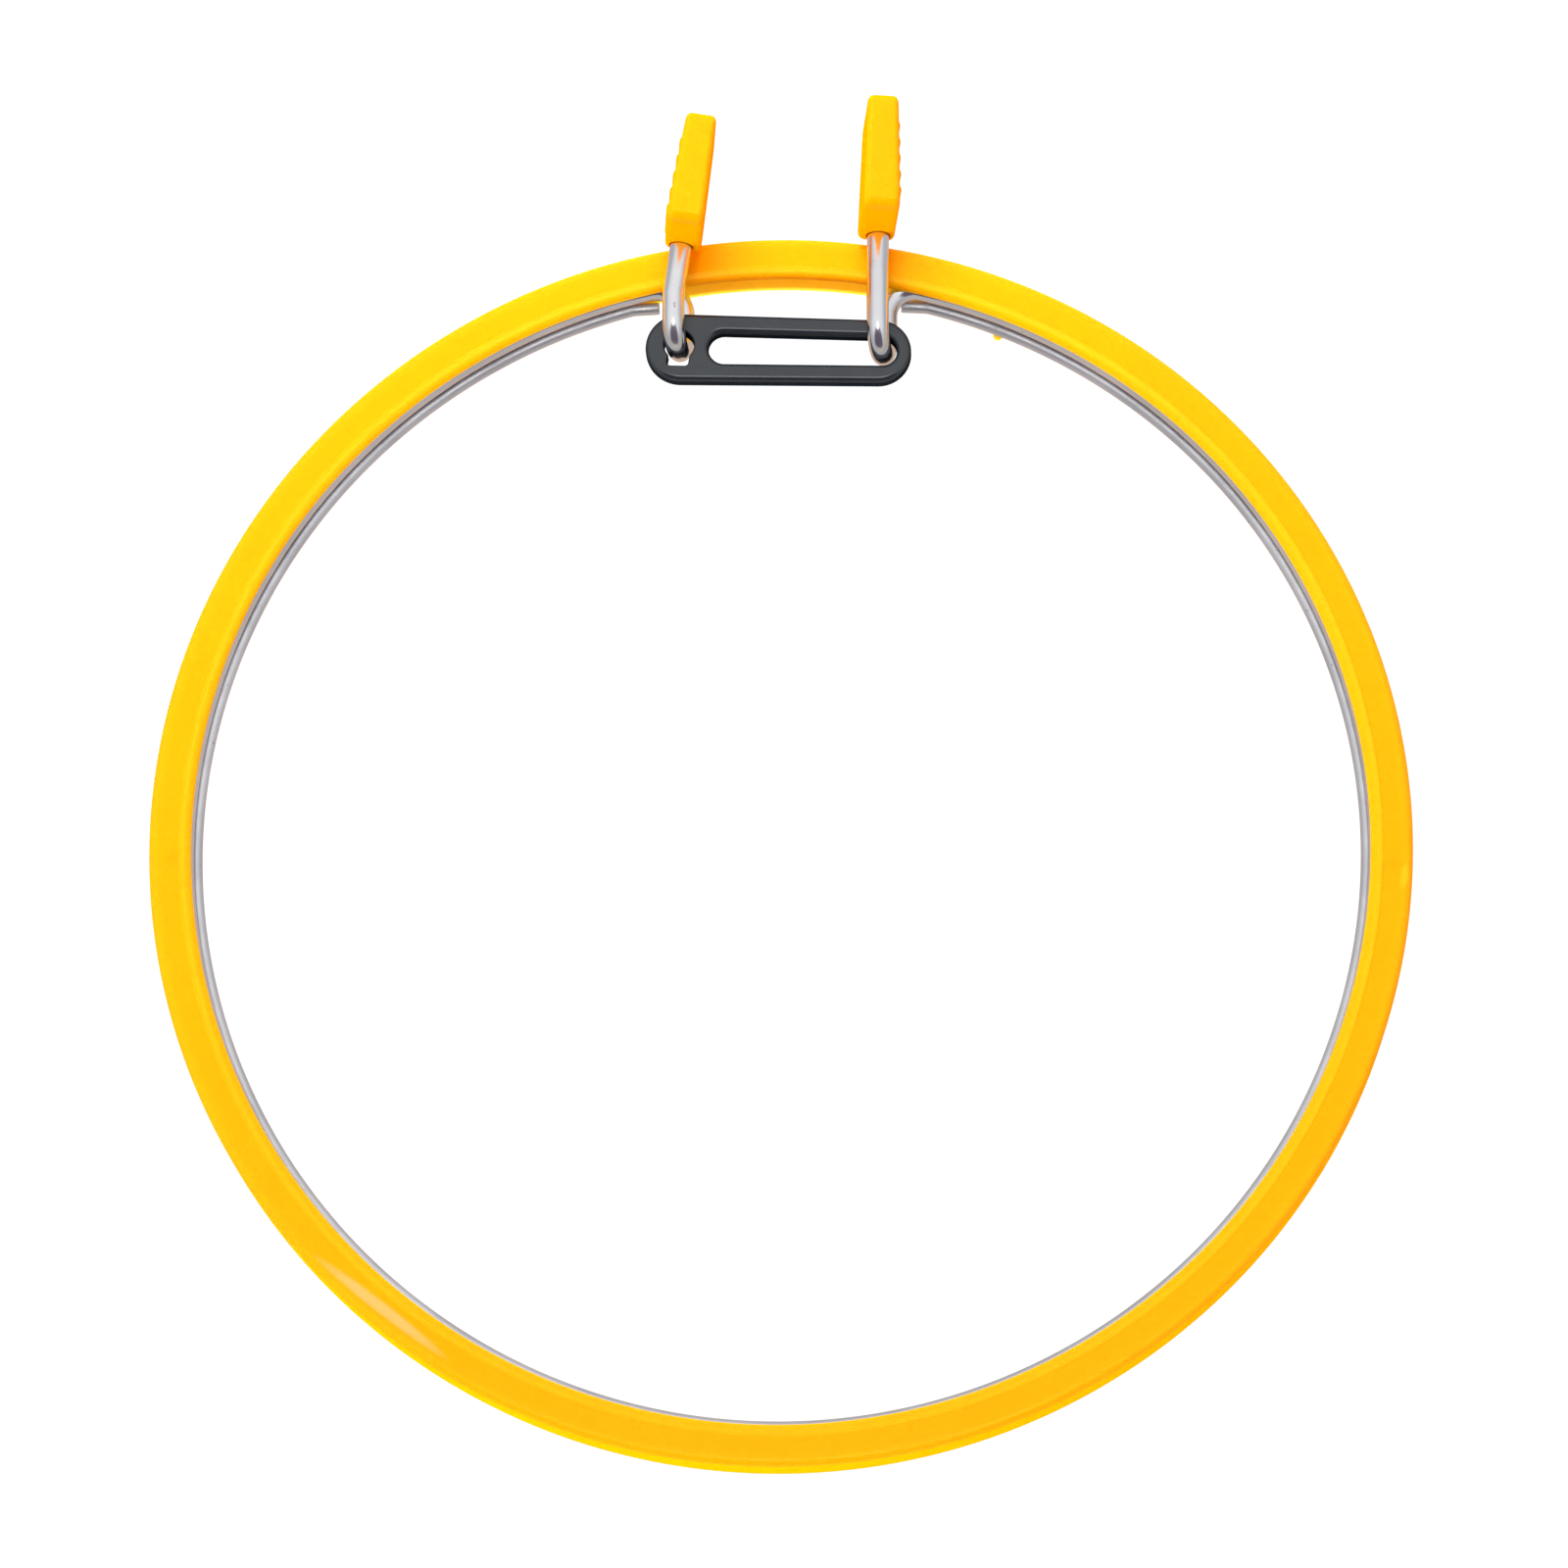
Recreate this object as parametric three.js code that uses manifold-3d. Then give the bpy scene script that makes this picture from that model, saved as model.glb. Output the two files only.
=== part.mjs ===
// Spring-tension embroidery hoop.
// A moulded outer ring has a groove round its inside. A round-wire spring lies in the groove with a thinner
// backing wire behind it. The spring's two ends turn in towards the middle, hook back through a retaining
// link and run out over the ring's front into two ribbed finger grips. Pinching the grips shrinks the spring.
//
// Millimetres, +Z up out of the hoop's front face, +Y from the ring's centre towards the grips. The hoop
// lies on its back face. The origin is under the middle of the whole object's box.
// The wires are split near the bottom of the ring, where the two halves of the spring flex.

import * as THREE from 'three';
import { mergeVertices } from 'three/addons/utils/BufferGeometryUtils.js';
import Module from 'manifold-3d';

// Running gap between neighbouring pieces
const GAP = 0.3;

// Outer ring
const RING_OUTER_RADIUS = 90;
const RING_BAND = 6;
const RING_WALL = 2.65;
const LIP_THICKNESS = 1.2;
const BACK_LIP_SETBACK = 0.5;
const RING_OUTER_ROUND = 1.2;
const RING_FRONT_ROUND = 1.0;
const RING_BACK_ROUND = 0.5;
const GROOVE_ROUND = 0.8;

// Spring wire and backing wire
const SPRING_DIAMETER = 3.2;
const BACKING_DIAMETER = 1.8;
const NEST_ANGLE = 53;
const SPLIT_HALF_ANGLE = 6;
const GROOVE_BEND_RADIUS = 4.2;
const BACKING_CUT_GAP = 0.6;
const BACKING_END_LENGTH = 4.2;
const BACKING_END_BEND = 12;
const BACKING_BEND_RADIUS = 3.3;

// Hooked ends of the spring
const HOOK_SLANT = 0.6;
const LEG_BEND_RADIUS = 6;
const WIRE_IN_GRIP = 11;

// Retaining link, a little wider at its keyhole end. Lengths along it are from the keyhole's axis
const LINK_INSET = 11.2;
const LINK_TILT = 1.6;
const LINK_WIDE = 10.3;
const LINK_NARROW = 9.6;
const LINK_WIDE_END = 0.4;
const LINK_NARROW_END = 29;
const LINK_THICKNESS = 3.0;
const LINK_HEADROOM = 0.65;
const LINK_ROUND = 0.85;
const EYE_DIAMETER = 4.6;
const EYE_LIFT = 0.25;
const NOTCH_WIDTH = 3.1;
const NOTCH_REACH = 2.8;
const SLOT_WIDE = 4.6;
const SLOT_NARROW = 4.2;
const SLOT_START = 6.7;
const SLOT_END_GAP = 0.55;

// Finger grips
const GRIP_FOOT_THICKNESS = 5.4;
const GRIP_TIP_THICKNESS = 4.4;
const GRIP_INNER_SHIFT = 0.2;
const GRIP_DEPTH = 13;
const GRIP_BACK_WALL = 0.9;
const GRIP_BORE_GAP = 0.2;
const GRIP_EDGE_ROUND = 1.0;
const GRIP_TIP_ROUND = 1.8;
const GRIP_FOOT_ROUND = 1.1;
const RIB_COUNT = 5;
const RIB_PITCH = 2.6;
const RIB_WIDTH = 1.1;
const RIB_HEIGHT = 0.3;
const RIB_INSET = 1.2;
const RIB_FROM_TIP = 4.6;

// Each handle as it was bent: its hook's distance from the middle, the level run after the hook, then the leg's
// lean towards the middle and its slope down, the bare leg below the grip, and the grip's twist and length
const RIGHT_HANDLE = {
  side: 1, hookX: 14.9, levelRun: 7, lean: -1, slope: 7, bareLeg: 5.45, twist: 5, gripLength: 18.5,
};
const LEFT_HANDLE = {
  side: -1, hookX: 14.65, levelRun: 3.2, lean: 8.2, slope: 3.5, bareLeg: 6.9, twist: 3.5, gripLength: 17.4,
};

// Facets
const RING_SEGMENTS = 80;
const ROUND_STEPS = 3;
const LINK_END_STEPS = 8;
const WIRE_SIDES = 12;
const BACKING_SIDES = 10;
const BORE_SIDES = 24;
const BEND_STEP = 18;
const MERGE_TOLERANCE = 1e-4;

const rad = THREE.MathUtils.degToRad;

// Sizes that follow from the ones above
const springRadius = SPRING_DIAMETER / 2;
const backingRadius = BACKING_DIAMETER / 2;
const lipRadius = RING_OUTER_RADIUS - RING_BAND;
const backLipRadius = lipRadius + BACK_LIP_SETBACK;
const grooveRadius = RING_OUTER_RADIUS - RING_WALL;
const springCircle = grooveRadius - GAP - springRadius;
const nestDistance = springRadius + backingRadius + GAP;
const backingCircle = springCircle - nestDistance * Math.cos(rad(NEST_ANGLE));
const backingZ = LIP_THICKNESS + GAP + backingRadius;
const springZ = backingZ + nestDistance * Math.sin(rad(NEST_ANGLE));
const grooveTop = springZ + springRadius + GAP;
const ringHeight = grooveTop + LIP_THICKNESS;
const stepAngle = (2 * Math.PI) / RING_SEGMENTS;

const hookSpacing = LEFT_HANDLE.hookX + RIGHT_HANDLE.hookX;
const rightHookDrop = hookSpacing * Math.sin(rad(LINK_TILT));
const hookRadius = LINK_THICKNESS / 2 + LINK_HEADROOM + springRadius;
const linkY = lipRadius - LINK_INSET;
const linkZ = springZ + hookRadius;
const backingCutX = RIGHT_HANDLE.hookX + HOOK_SLANT + springRadius + BACKING_CUT_GAP;

const yellowPlastic = new THREE.MeshStandardMaterial({ color: 0xffcf08, roughness: 0.35, metalness: 0 });
const gripPlastic = new THREE.MeshStandardMaterial({ color: 0xffd000, roughness: 0.4, metalness: 0 });
const steel = new THREE.MeshStandardMaterial({ color: 0xc4c6c9, roughness: 0.2, metalness: 1 });
const charcoalPlastic = new THREE.MeshStandardMaterial({ color: 0x464b51, roughness: 0.5, metalness: 0 });

const wasm = await Module();
wasm.setup();

// Boolean helpers
function toSolid(geometry) {
  const bare = geometry.index ? geometry.toNonIndexed() : geometry.clone();
  bare.deleteAttribute('normal');
  bare.deleteAttribute('uv');
  const merged = mergeVertices(bare, MERGE_TOLERANCE);
  return new wasm.Manifold(new wasm.Mesh({
    numProp: 3,
    vertProperties: new Float32Array(merged.attributes.position.array),
    triVerts: new Uint32Array(merged.index.array),
  }));
}

function toGeometry(solid) {
  const mesh = solid.getMesh();
  const geometry = new THREE.BufferGeometry();
  geometry.setAttribute('position', new THREE.BufferAttribute(new Float32Array(mesh.vertProperties), 3));
  geometry.setIndex(new THREE.BufferAttribute(new Uint32Array(mesh.triVerts), 1));
  geometry.computeVertexNormals();
  return geometry;
}

function named(name, geometry, material) {
  const mesh = new THREE.Mesh(geometry, material);
  mesh.name = name;
  return mesh;
}

// A corner of a section, rounded by a short arc between its two edges
function roundedCorner(corner, before, after, radius) {
  if (radius === 0) return [corner];
  const back = before.clone().sub(corner).normalize();
  const forward = after.clone().sub(corner).normalize();
  const points = [];
  for (let i = 0; i <= ROUND_STEPS; i++) {
    const turn = (i / ROUND_STEPS) * (Math.PI / 2);
    points.push(corner.clone()
      .addScaledVector(back, radius * (1 - Math.sin(turn)))
      .addScaledVector(forward, radius * (1 - Math.cos(turn))));
  }
  return points;
}

function roundedOutline(corners) {
  const spots = corners.map(([x, y]) => new THREE.Vector2(x, y));
  return corners.flatMap(([, , radius], i) => roundedCorner(
    spots[i],
    spots[(i + spots.length - 1) % spots.length],
    spots[(i + 1) % spots.length],
    radius,
  ));
}

// Outer ring: a channel section turned round the hoop's axis, open towards the middle
function outerRingGeometry() {
  const lipTip = RING_BACK_ROUND / 2;
  const section = roundedOutline([
    [backLipRadius, 0, RING_BACK_ROUND],
    [RING_OUTER_RADIUS, 0, RING_OUTER_ROUND],
    [RING_OUTER_RADIUS, ringHeight, RING_OUTER_ROUND],
    [lipRadius, ringHeight, RING_FRONT_ROUND],
    [lipRadius, grooveTop, 0],
    [grooveRadius, grooveTop, GROOVE_ROUND],
    [grooveRadius, LIP_THICKNESS, GROOVE_ROUND],
    [backLipRadius, LIP_THICKNESS, lipTip],
  ]);
  section.push(section[0].clone());
  const ring = new THREE.LatheGeometry(section, RING_SEGMENTS);
  ring.rotateX(Math.PI / 2);
  return ring;
}

// A wire's path: a list of stations, each with its place and its exact direction
class WirePath extends THREE.Curve {
  constructor(place, heading) {
    super();
    this.stations = [{ place: place.clone(), heading: heading.clone().normalize() }];
  }

  get end() {
    return this.stations[this.stations.length - 1];
  }

  straight(length) {
    const { place, heading } = this.end;
    this.stations.push({ place: place.clone().addScaledVector(heading, length), heading: heading.clone() });
    return this;
  }

  // An arc from the present heading round to a new one
  bendTo(target, radius) {
    const { place, heading } = this.end;
    const aim = target.clone().normalize();
    const angle = heading.angleTo(aim);
    const steps = Math.ceil(angle / rad(BEND_STEP));
    const inward = aim.clone().addScaledVector(heading, -heading.dot(aim)).normalize();
    for (let i = 1; i <= steps; i++) {
      const turn = (angle * i) / steps;
      this.stations.push({
        place: place.clone()
          .addScaledVector(heading, radius * Math.sin(turn))
          .addScaledVector(inward, radius * (1 - Math.cos(turn))),
        heading: heading.clone().multiplyScalar(Math.cos(turn)).addScaledVector(inward, Math.sin(turn)),
      });
    }
    return this;
  }

  at(t, key) {
    const spot = t * (this.stations.length - 1);
    const i = Math.min(Math.floor(spot + 1e-9), this.stations.length - 1);
    const j = Math.min(i + 1, this.stations.length - 1);
    return this.stations[i][key].clone().lerp(this.stations[j][key], Math.max(0, spot - i));
  }

  getPoint(t) {
    return this.at(t, 'place');
  }

  getTangent(t) {
    return this.at(t, 'heading').normalize();
  }

  getPointAt(u) {
    return this.getPoint(u);
  }

  getTangentAt(u) {
    return this.getTangent(u);
  }
}

// Round the hoop: angles run from the bottom of the ring up one side to the top at 180 degrees
function onCircle(side, circle, angle, z) {
  return new THREE.Vector3(side * circle * Math.sin(angle), -circle * Math.cos(angle), z);
}

function alongCircle(side, angle) {
  return new THREE.Vector3(side * Math.cos(angle), Math.sin(angle), 0);
}

function circlePath(side, circle, z, from, to) {
  const path = new WirePath(onCircle(side, circle, from, z), alongCircle(side, from));
  const steps = Math.ceil((to - from) / stepAngle);
  for (let i = 1; i <= steps; i++) {
    const angle = from + ((to - from) * i) / steps;
    path.stations.push({ place: onCircle(side, circle, angle, z), heading: alongCircle(side, angle) });
  }
  return path;
}

function wireGeometry(path, radius, sides) {
  const section = new THREE.Shape();
  for (let i = 0; i < sides; i++) {
    const turn = (2 * Math.PI * i) / sides;
    const x = radius * Math.cos(turn);
    const y = radius * Math.sin(turn);
    if (i === 0) section.moveTo(x, y);
    else section.lineTo(x, y);
  }
  section.closePath();
  return new THREE.ExtrudeGeometry(section, {
    steps: path.stations.length - 1,
    extrudePath: path,
    bevelEnabled: false,
  });
}

// Where the wires are split, leaving the running gap between the faces
function splitAngle(circle) {
  return rad(SPLIT_HALF_ANGLE) + GAP / 2 / circle;
}

function bowGeometry(circle, z, radius, sides) {
  const half = rad(SPLIT_HALF_ANGLE) - GAP / 2 / circle;
  return wireGeometry(circlePath(1, circle, z, -half, half), radius, sides);
}

function legDirection({ side, lean, slope }) {
  return new THREE.Vector3(
    -side * Math.sin(rad(lean)) * Math.cos(rad(slope)),
    Math.cos(rad(lean)) * Math.cos(rad(slope)),
    -Math.sin(rad(slope)),
  );
}

// The right hook lies lower than the left one, by the link's tilt
function hookCentreY({ side }) {
  return linkY + hookRadius - (side > 0 ? rightHookDrop : 0);
}

// One half of the spring: round the groove, in behind the link, a hook, and out over the ring's front
function springPath(handle) {
  const { side, hookX, levelRun } = handle;
  const backX = hookX + side * HOOK_SLANT;
  const exit = Math.asin((backX + GROOVE_BEND_RADIUS) / (springCircle - GROOVE_BEND_RADIUS));
  const inwards = new THREE.Vector3(0, -1, 0);
  const upTheHook = new THREE.Vector3(-HOOK_SLANT, 0, hookRadius);
  const path = circlePath(side, springCircle, springZ, splitAngle(springCircle), Math.PI - exit);
  path.bendTo(inwards, GROOVE_BEND_RADIUS);
  path.straight(path.end.place.y - hookCentreY(handle));
  path.bendTo(upTheHook, hookRadius);
  path.bendTo(inwards.clone().negate(), hookRadius);
  path.straight(levelRun);
  path.bendTo(legDirection(handle), LEG_BEND_RADIUS);
  return path;
}

function gripFoot(handle) {
  return springPath(handle).end.place.clone().addScaledVector(legDirection(handle), handle.bareLeg);
}

function springArmGeometry(handle) {
  const path = springPath(handle);
  path.straight(handle.bareLeg);
  path.straight(WIRE_IN_GRIP);
  return wireGeometry(path, springRadius, WIRE_SIDES);
}

// One half of the backing wire, with its cut end set a little off the circle
function backingArmGeometry(side) {
  const tail = Math.asin((backingCutX + BACKING_END_LENGTH) / backingCircle);
  const path = circlePath(side, backingCircle, backingZ, splitAngle(backingCircle), Math.PI - tail);
  path.bendTo(alongCircle(side, Math.PI - tail + rad(BACKING_END_BEND)), BACKING_BEND_RADIUS);
  path.straight((Math.abs(path.end.place.x) - backingCutX) / Math.abs(path.end.heading.x));
  return wireGeometry(path, backingRadius, BACKING_SIDES);
}

// Two round ends joined by straight sides, the larger end first
function roundEnded(path, from, fromRadius, to, toRadius, clockwise) {
  const turn = Math.acos((fromRadius - toRadius) / (to - from)) * (clockwise ? -1 : 1);
  path.absarc(to, 0, toRadius, -turn, turn, clockwise);
  path.absarc(from, 0, fromRadius, turn, Math.sign(turn) * 2 * Math.PI - turn, clockwise);
  path.closePath();
  return path;
}

// Retaining link: a rounded bar with a keyhole for the left hook and a long slot for the right one
function linkGeometry() {
  const slotEnd = hookSpacing + springRadius + SLOT_END_GAP - SLOT_NARROW / 2;
  const eyeRadius = EYE_DIAMETER / 2;
  const outline = roundEnded(
    new THREE.Shape(), LINK_WIDE_END, LINK_WIDE / 2, LINK_NARROW_END, LINK_NARROW / 2, false,
  );
  const slot = roundEnded(new THREE.Path(), SLOT_START, SLOT_WIDE / 2, slotEnd, SLOT_NARROW / 2, true);

  const notch = Math.asin(Math.min(1, NOTCH_WIDTH / 2 / eyeRadius));
  const eye = new THREE.Path();
  eye.moveTo(-NOTCH_WIDTH / 2, -NOTCH_REACH);
  eye.absarc(0, EYE_LIFT, eyeRadius, -Math.PI / 2 - notch, -Math.PI / 2 + notch, true);
  eye.lineTo(NOTCH_WIDTH / 2, -NOTCH_REACH);
  eye.closePath();

  outline.holes.push(slot, eye);
  const link = new THREE.ExtrudeGeometry(outline, {
    depth: LINK_THICKNESS - 2 * LINK_ROUND,
    bevelEnabled: true,
    bevelThickness: LINK_ROUND,
    bevelSize: LINK_ROUND,
    bevelOffset: -LINK_ROUND,
    bevelSegments: ROUND_STEPS,
    curveSegments: LINK_END_STEPS,
  });
  link.rotateZ(-rad(LINK_TILT));
  link.translate(-LEFT_HANDLE.hookX, linkY, linkZ - LINK_THICKNESS / 2 + LINK_ROUND);
  return link;
}

// A grip is thickest at its foot and thins evenly towards its tip
function thinToTip(geometry, length) {
  const { position } = geometry.attributes;
  const thinning = 1 - GRIP_TIP_THICKNESS / GRIP_FOOT_THICKNESS;
  for (let i = 0; i < position.count; i++) {
    position.setX(i, position.getX(i) * (1 - (thinning * position.getY(i)) / length));
  }
}

// Finger grip in its own frame: x through its thickness, y along it from the foot, z out to the front,
// with the wire's axis on the y axis
function gripGeometry({ side, gripLength }) {
  const boreRadius = springRadius + GRIP_BORE_GAP;
  const back = -(boreRadius + GRIP_BACK_WALL);
  const front = back + GRIP_DEPTH;
  const round = GRIP_EDGE_ROUND;

  const profile = new THREE.Shape(roundedOutline([
    [0, back, GRIP_FOOT_ROUND],
    [gripLength, back, GRIP_TIP_ROUND],
    [gripLength, front, GRIP_TIP_ROUND],
    [0, front, GRIP_FOOT_ROUND],
  ]));
  const blade = new THREE.ExtrudeGeometry(profile, {
    depth: GRIP_FOOT_THICKNESS - 2 * round,
    bevelEnabled: true,
    bevelThickness: round,
    bevelSize: round,
    bevelOffset: -round,
    bevelSegments: ROUND_STEPS,
  });
  blade.translate(0, 0, -GRIP_FOOT_THICKNESS / 2 + round);
  blade.applyMatrix4(axesMatrix([0, 1, 0], [0, 0, 1], [1, 0, 0]));
  thinToTip(blade, gripLength);
  blade.translate(-side * GRIP_INNER_SHIFT, 0, 0);
  let grip = toSolid(blade);

  const ridge = new THREE.Shape([
    new THREE.Vector2(-RIB_WIDTH / 2, -GAP),
    new THREE.Vector2(RIB_WIDTH / 2, -GAP),
    new THREE.Vector2(RIB_WIDTH / 2, 0),
    new THREE.Vector2(RIB_WIDTH / 4, RIB_HEIGHT),
    new THREE.Vector2(-RIB_WIDTH / 4, RIB_HEIGHT),
    new THREE.Vector2(-RIB_WIDTH / 2, 0),
  ]);
  for (let i = 0; i < RIB_COUNT; i++) {
    const rib = new THREE.ExtrudeGeometry(ridge, { depth: GRIP_DEPTH - 2 * RIB_INSET, bevelEnabled: false });
    rib.applyMatrix4(axesMatrix([0, -side, 0], [side, 0, 0], [0, 0, 1]));
    const ribY = gripLength - RIB_FROM_TIP - i * RIB_PITCH;
    rib.translate(side * (GRIP_FOOT_THICKNESS / 2), ribY, back + RIB_INSET);
    thinToTip(rib, gripLength);
    rib.translate(-side * GRIP_INNER_SHIFT, 0, 0);
    grip = grip.add(toSolid(rib));
  }

  const boreDepth = WIRE_IN_GRIP + GAP;
  const bore = new THREE.CylinderGeometry(boreRadius, boreRadius, 2 * boreDepth, BORE_SIDES);
  return toGeometry(grip.subtract(toSolid(bore)));
}

function axesMatrix(x, y, z) {
  return new THREE.Matrix4().makeBasis(
    new THREE.Vector3(...x),
    new THREE.Vector3(...y),
    new THREE.Vector3(...z),
  );
}

function gripMesh(name, handle) {
  const along = legDirection(handle);
  const across = new THREE.Vector3().crossVectors(along, new THREE.Vector3(0, 0, 1)).normalize();
  across.applyAxisAngle(along, rad(handle.twist));
  const front = new THREE.Vector3().crossVectors(across, along);
  const grip = named(name, gripGeometry(handle), gripPlastic);
  grip.quaternion.setFromRotationMatrix(new THREE.Matrix4().makeBasis(across, along, front));
  grip.position.copy(gripFoot(handle));
  return grip;
}

// The assembly, about the ring's centre
const hoop = new THREE.Group();
hoop.add(
  named('outer_ring', outerRingGeometry(), yellowPlastic),
  named('spring_wire_bow', bowGeometry(springCircle, springZ, springRadius, WIRE_SIDES), steel),
  named('spring_wire_left', springArmGeometry(LEFT_HANDLE), steel),
  named('spring_wire_right', springArmGeometry(RIGHT_HANDLE), steel),
  named('backing_wire_bow', bowGeometry(backingCircle, backingZ, backingRadius, BACKING_SIDES), steel),
  named('backing_wire_left', backingArmGeometry(-1), steel),
  named('backing_wire_right', backingArmGeometry(1), steel),
  gripMesh('grip_left', LEFT_HANDLE),
  gripMesh('grip_right', RIGHT_HANDLE),
  named('retaining_link', linkGeometry(), charcoalPlastic),
);

// The whole object is set over its origin: middle of its box, lowest point at zero
hoop.updateMatrixWorld(true);
const box = new THREE.Box3().setFromObject(hoop, true);
hoop.position.set(0, -(box.min.y + box.max.y) / 2, -box.min.z);

const model = new THREE.Group();
model.add(hoop);

export default model;
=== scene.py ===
import math

import bmesh
import bpy
from mathutils import Matrix, Vector
from mathutils.geometry import delaunay_2d_cdt

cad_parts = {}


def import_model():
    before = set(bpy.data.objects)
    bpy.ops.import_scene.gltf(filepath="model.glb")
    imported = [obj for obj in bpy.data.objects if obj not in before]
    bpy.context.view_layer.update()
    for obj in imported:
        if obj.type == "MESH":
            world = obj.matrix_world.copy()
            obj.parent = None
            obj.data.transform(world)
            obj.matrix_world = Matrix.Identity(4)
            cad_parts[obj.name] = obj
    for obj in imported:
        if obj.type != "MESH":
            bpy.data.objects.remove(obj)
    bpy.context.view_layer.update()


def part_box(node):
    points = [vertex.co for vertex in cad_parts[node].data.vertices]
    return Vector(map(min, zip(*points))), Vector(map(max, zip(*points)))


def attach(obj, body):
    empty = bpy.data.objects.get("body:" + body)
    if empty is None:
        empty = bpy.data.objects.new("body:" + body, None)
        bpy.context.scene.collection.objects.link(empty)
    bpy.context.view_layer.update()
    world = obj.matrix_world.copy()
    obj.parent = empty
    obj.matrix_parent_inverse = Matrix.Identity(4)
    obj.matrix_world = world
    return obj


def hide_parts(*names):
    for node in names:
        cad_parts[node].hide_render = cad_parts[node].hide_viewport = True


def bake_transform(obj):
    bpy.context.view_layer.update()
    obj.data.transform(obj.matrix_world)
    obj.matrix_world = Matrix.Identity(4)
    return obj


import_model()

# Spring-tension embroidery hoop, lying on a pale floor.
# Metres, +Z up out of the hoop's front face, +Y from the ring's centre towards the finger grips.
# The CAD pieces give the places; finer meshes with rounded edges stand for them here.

MM = 0.001
SHARP_ANGLE = math.radians(40)
FLAT_WEIGHT = 100
scene = bpy.context.scene

# Outer ring, worked out from its CAD box
ring_low, ring_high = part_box("outer_ring")
RING_RADIUS = ring_high.x
RING_HEIGHT = ring_high.z
RING_CENTRE = Vector((0, (ring_low.y + ring_high.y) / 2, 0))
RING_BAND = 6 * MM
RING_WALL = 2.65 * MM
LIP_THICKNESS = 1.2 * MM
LIP_RADIUS = RING_RADIUS - RING_BAND
BACK_LIP_RADIUS = LIP_RADIUS + 0.5 * MM
GROOVE_RADIUS = RING_RADIUS - RING_WALL
GROOVE_TOP = RING_HEIGHT - LIP_THICKNESS

# Wires
GAP = 0.3 * MM
SPRING_RADIUS = 1.6 * MM
BACKING_RADIUS = 0.9 * MM
NEST_ANGLE = math.radians(53)
SPRING_CIRCLE = GROOVE_RADIUS - GAP - SPRING_RADIUS
NEST_DISTANCE = SPRING_RADIUS + BACKING_RADIUS + GAP
BACKING_CIRCLE = SPRING_CIRCLE - NEST_DISTANCE * math.cos(NEST_ANGLE)
BACKING_Z = LIP_THICKNESS + GAP + BACKING_RADIUS
SPRING_Z = BACKING_Z + NEST_DISTANCE * math.sin(NEST_ANGLE)
GROOVE_BEND_RADIUS = 4.2 * MM
BACKING_CUT_GAP = 0.6 * MM
BACKING_END_LENGTH = 4.2 * MM
BACKING_END_BEND = math.radians(12)
BACKING_BEND_RADIUS = 3.3 * MM

# Hooked ends of the spring
HOOK_SLANT = 0.6 * MM
LEG_BEND_RADIUS = 6 * MM
WIRE_IN_GRIP = 11 * MM

# How each handle is bent
RIGHT_HANDLE = {
    "name": "right",
    "side": 1,
    "hook_x": 14.9 * MM,
    "level_run": 7 * MM,
    "lean": math.radians(-1),
    "slope": math.radians(7),
    "bare_leg": 5.45 * MM,
    "twist": math.radians(5),
    "grip_length": 18.5 * MM,
}
LEFT_HANDLE = {
    "name": "left",
    "side": -1,
    "hook_x": 14.65 * MM,
    "level_run": 3.2 * MM,
    "lean": math.radians(8.2),
    "slope": math.radians(3.5),
    "bare_leg": 6.9 * MM,
    "twist": math.radians(3.5),
    "grip_length": 17.4 * MM,
}

# Retaining link. Lengths along it are from the keyhole's axis
LINK_INSET = 11.2 * MM
LINK_TILT = math.radians(1.6)
LINK_WIDE_RADIUS = 5.15 * MM
LINK_NARROW_RADIUS = 4.8 * MM
LINK_WIDE_END = 0.4 * MM
LINK_NARROW_END = 29 * MM
LINK_THICKNESS = 3 * MM
LINK_HEADROOM = 0.65 * MM
EYE_RADIUS = 2.15 * MM
EYE_SHIFT = 0.15 * MM
EYE_LIFT = 0.3 * MM
NOTCH_WIDTH = 3.1 * MM
NOTCH_REACH = 2.8 * MM
NOTCH_ROUND = 0.5 * MM
SLOT_WIDE_RADIUS = 2.3 * MM
SLOT_NARROW_RADIUS = 2.1 * MM
SLOT_START = 6.7 * MM
SLOT_END_GAP = 0.55 * MM
HOOK_SPACING = LEFT_HANDLE["hook_x"] + RIGHT_HANDLE["hook_x"]
RIGHT_HOOK_DROP = HOOK_SPACING * math.sin(LINK_TILT)
HOOK_RADIUS = LINK_THICKNESS / 2 + LINK_HEADROOM + SPRING_RADIUS
LINK_Y = RING_CENTRE.y + LIP_RADIUS - LINK_INSET
LINK_Z = SPRING_Z + HOOK_RADIUS
BACKING_CUT_X = RIGHT_HANDLE["hook_x"] + HOOK_SLANT + SPRING_RADIUS + BACKING_CUT_GAP

# Finger grips
GRIP_FOOT_THICKNESS = 5.4 * MM
GRIP_TIP_THICKNESS = 4.4 * MM
GRIP_INNER_SHIFT = 0.2 * MM
GRIP_DEPTH = 13 * MM
GRIP_BACK_WALL = 0.9 * MM
GRIP_BORE_GAP = 0.2 * MM
GRIP_BACK = -(SPRING_RADIUS + GRIP_BORE_GAP + GRIP_BACK_WALL)
RIB_COUNT = 5
RIB_PITCH = 2.6 * MM
RIB_WIDTH = 1.1 * MM
RIB_HEIGHT = 0.3 * MM
RIB_INSET = 1.2 * MM
RIB_FROM_TIP = 4.6 * MM
# Keeps the grips' tips inside the CAD's box
TIP_TRIM = 0.02 * MM


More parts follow.
